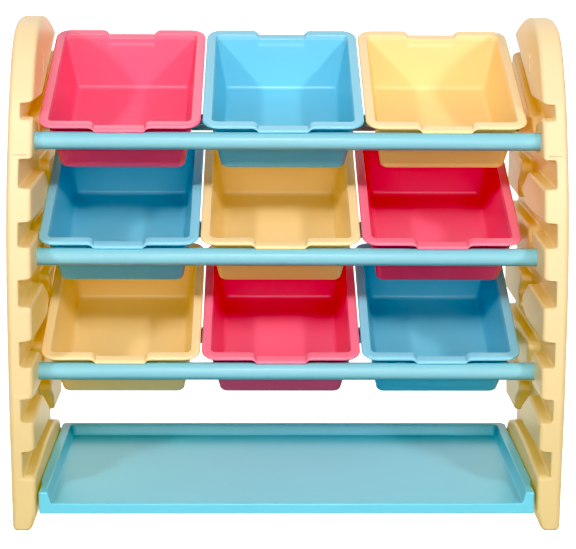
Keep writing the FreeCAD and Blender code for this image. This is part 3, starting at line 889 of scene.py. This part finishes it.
def bin_rings():
    R = []

    def ins(depth, extra):
        """insets of the wall's face at a depth, extra mm inside its outer face"""
        return OVF + DF * depth + extra, OVB + DB * depth + extra, OVX + DX * depth + extra

    a, b, c = ins(DEPTH + WALL, 0)
    fo = 6.5
    # outside, from the middle of the floor up
    R.append((a + 40, b + 40, c + 34, 6, DEPTH + WALL, 0))
    R.append((a + fo + 1.5, b + fo + 1.5, c + fo + 1.5, 5, DEPTH + WALL, 0))
    for i in range(8):
        t = math.pi / 2 * i / 7
        dd = fo * (1 - math.cos(t))
        q = fo * (1 - math.sin(t))
        wa, wb, wc = ins(DEPTH + WALL - dd, q)
        R.append((wa, wb, wc, 8.0 - q * 0.4, DEPTH + WALL - dd, 0))
    for d, rr, nf in ((64, 8.2, 0), (30, 8.5, 0), (19, 8.5, 0), (14.5, 8.6, 0.25), (11.5, 8.7, 0.6), (8.5, 8.8, 0.9),
                      (6.4, 9.0, 1)):
        wa, wb, wc = ins(d, 0)
        R.append((wa, wb, wc, rr, d, nf))
    wa, wb, wc = ins(LIP, 0)
    R.append((wa - 0.2, wb - 0.2, wc - 0.2, 9.2, LIP + 0.8, 1))
    R.append((wa - 0.6, wb - 0.6, wc - 0.6, 9.6, LIP + 0.25, 1))
    R.append((wa - 1.4, wb - 1.4, wc - 1.4, 10.4, LIP, 1))
    R.append((2.6, 2.6, 2.6, RIM_R - 2.6, LIP, 1))
    # outer edge of the lip, rounder on top
    r1, r2 = 1.1, 2.7
    for i in range(4):
        t = math.pi / 2 * i / 3
        q = r1 * (1 - math.sin(t))
        R.append((q, q, q, RIM_R - q, LIP - r1 + r1 * math.cos(t), 1))
    for i in range(1, 6):
        t = math.pi / 2 * i / 5
        q = r2 * (1 - math.cos(t))
        R.append((q, q, q, RIM_R - q, r2 - r2 * math.sin(t), 1))
    ri = 1.4
    ia, ib, ic = ins(ri, WALL)
    R.append((5.0, 5.0, 4.6, RIM_R - 5.0, 0.0, 1))
    R.append((7.8, 7.8, 6.6, RIM_R - 7.8, 0.1, 1))
    R.append((ia - ri - 1.0, ib - ri - 1.0, ic - ri - 0.9, 8.5, 0.42, 1))
    for i in range(5):
        t = math.pi / 2 * i / 4
        q = ri * (1 - math.sin(t))
        R.append((ia - q, ib - q, ic - q, 6.6 + q * 0.7, 0.5 + ri * (1 - math.cos(t)), 1))
    for d, rr, nf in ((3.6, 6.5, 1), (7, 6.5, 0.9), (10.5, 6.4, 0.6), (14, 6.3, 0.25), (19, 6.2, 0), (35, 6.1, 0),
                      (60, 6, 0)):
        wa, wb, wc = ins(d, WALL)
        R.append((wa, wb, wc, rr, d, nf))
    fi = 5.0
    for i in range(7):
        t = math.pi / 2 * i / 6
        dd = fi * (1 - math.sin(t))
        q = fi * (1 - math.cos(t))
        wa, wb, wc = ins(DEPTH - dd, WALL + q)
        R.append((wa, wb, wc, 6.0 - q * 0.3, DEPTH - dd, 0))
    a, b, c = ins(DEPTH, WALL)
    R.append((a + fi + 1.5, b + fi + 1.5, c + fi + 1.5, 4.5, DEPTH, 0))
    R.append((a + 40, b + 40, c + 34, 6, DEPTH, 0))
    return [bin_ring(*r) for r in R]


RINGS = bin_rings()


def bin_mesh(name, i, x0, mat, body):
    F0 = (YR + RAIL_SHIFT[i] + BIN_FRONT[0], ZR - ROW_PITCH * i + BIN_FRONT[1])
    vs, fs = [], []
    k = len(RINGS[0])
    for ring in RINGS:
        for (x, s, d) in ring:
            vs.append((x + x0, F0[0] + s * CT + d * ST, F0[1] + s * ST - d * CT))
    for j in range(len(RINGS) - 1):
        for q in range(k):
            w = (q + 1) % k
            fs.append((j * k + q, j * k + w, (j + 1) * k + w, (j + 1) * k + q))
    fs.append(tuple(range(k))[::-1])
    e = (len(RINGS) - 1) * k
    fs.append(tuple(range(e, e + k)))
    ob = make_object(name, vs, fs, None, mat)
    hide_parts(body)
    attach(ob, body)
    return ob


COLOURS = {"top": ("bin_pink", "bin_blue", "bin_yellow"), "middle": ("bin_blue", "bin_yellow", "bin_pink"),
           "bottom": ("bin_yellow", "bin_pink", "bin_blue")}
for i, row in enumerate(ROWS):
    for j, col in enumerate(COLS):
        bin_mesh("bin_shell_%s_%s" % (row, col), i, (j - 1) * BIN_PITCH + ROW_SHIFT_X[i], COLOURS[row][j],
                 "bin_%s_%s" % (row, col))


# --------------------------------------------------------------- stage, light
def floor_material():
    m = bpy.data.materials.new("studio_floor")
    m.use_nodes = True
    b = m.node_tree.nodes["Principled BSDF"]
    b.inputs["Base Color"].default_value = (0.93, 0.93, 0.93, 1)
    b.inputs["Roughness"].default_value = 0.8
    b.inputs["Specular IOR Level"].default_value = 0.1
    b.inputs["Emission Color"].default_value = (1, 1, 1, 1)
    b.inputs["Emission Strength"].default_value = 1.2
    return m


def stage():
    w = 30.0
    prof = [(-12.0, 0.0), (9.0, 0.0)] + [(9.0 + 4.0 * math.sin(t), 4.0 * (1 - math.cos(t))) for t in
                                         np.linspace(0, math.pi / 2, 16)[1:]] + [(13.0, 14.0)]
    vs, fs = [], []
    for (y, z) in prof:
        vs += [(-w * 1000, y * 1000, z * 1000), (w * 1000, y * 1000, z * 1000)]
    for i in range(len(prof) - 1):
        fs.append((2 * i, 2 * i + 1, 2 * i + 3, 2 * i + 2))
    ob = make_object("studio_floor", vs, fs)
    ob.data.materials.append(floor_material())
    ob.visible_diffuse = False


stage()

world = bpy.data.worlds.new("studio")
scene.world = world
world.use_nodes = True
wt = world.node_tree
bg = wt.nodes["Background"]
wco = wt.nodes.new("ShaderNodeTexCoord")
wsep = wt.nodes.new("ShaderNodeSeparateXYZ")
wt.links.new(wco.outputs["Generated"], wsep.inputs["Vector"])
wr = wt.nodes.new("ShaderNodeValToRGB")
wr.color_ramp.elements[0].position = 0.30
wr.color_ramp.elements[0].color = (0.22, 0.22, 0.22, 1)
wr.color_ramp.elements[1].position = 1.0
wr.color_ramp.elements[1].color = (1.0, 1.0, 1.0, 1)
e = wr.color_ramp.elements.new(0.5)
e.color = (0.5, 0.5, 0.5, 1)
wm = wt.nodes.new("ShaderNodeMapRange")
wm.inputs["From Min"].default_value = -1.0
wm.inputs["From Max"].default_value = 1.0
wt.links.new(wsep.outputs["Z"], wm.inputs["Value"])
wt.links.new(wm.outputs["Result"], wr.inputs["Fac"])
wt.links.new(wr.outputs["Color"], bg.inputs["Color"])
bg.inputs["Strength"].default_value = 0.24


def area(name, loc, target, size, power, color=(1, 1, 1)):
    li = bpy.data.lights.new(name, "AREA")
    li.shape = "RECTANGLE"
    li.size, li.size_y = size
    li.energy = power
    li.color = color
    ob = bpy.data.objects.new(name, li)
    scene.collection.objects.link(ob)
    ob.location = loc
    d = Vector(target) - Vector(loc)
    ob.rotation_euler = d.to_track_quat("-Z", "Y").to_euler()
    return ob


area("key_left", (-1.60, -2.20, 1.59), (0, 0, 0.32), (0.20, 0.22), 28)
area("key_right", (1.60, -2.20, 1.59), (0, 0, 0.32), (0.20, 0.22), 28)
sheen = area("sheen", (0.0, 1.55, 2.6), (0, 0.05, 0.35), (3.2, 1.6), 14)
sheen.visible_diffuse = False
area("front_fill", (0.0, -3.2, 0.7), (0, 0, 0.25), (2.4, 1.3), 35)
area("key_high", (0.0, -2.10, 1.68), (0, 0, 0.32), (0.50, 0.40), 19)

# -------------------------------------------------------------------- camera
cam_data = bpy.data.cameras.new("camera")
cam_data.sensor_fit = "HORIZONTAL"
cam_data.sensor_width = 36.0
cam_data.lens = 36.0 * 1700.0 / 576.0
cam_data.clip_end = 100.0
cam = bpy.data.objects.new("camera", cam_data)
scene.collection.objects.link(cam)
pitch, yaw, roll = 0.2152, 0.0166, 0.0055
fw = Vector((math.sin(yaw) * math.cos(pitch), math.cos(yaw) * math.cos(pitch), -math.sin(pitch)))
r0 = Vector((math.cos(yaw), -math.sin(yaw), 0))
u0 = r0.cross(fw)
rv = math.cos(roll) * r0 + math.sin(roll) * u0
uv = -math.sin(roll) * r0 + math.cos(roll) * u0
mw = Matrix((
    (rv.x, uv.x, -fw.x, -0.0333),
    (rv.y, uv.y, -fw.y, (-2059.5 + YR) / 1000),
    (rv.z, uv.z, -fw.z, (283.7 + ZR) / 1000),
    (0, 0, 0, 1)))
cam.matrix_world = mw
scene.camera = cam
scene.view_settings.view_transform = "Standard"
scene.view_settings.look = "None"
scene.view_settings.use_curve_mapping = True
scene.view_settings.curve_mapping.black_level = (0.055, 0.055, 0.055)
scene.view_settings.curve_mapping.update()
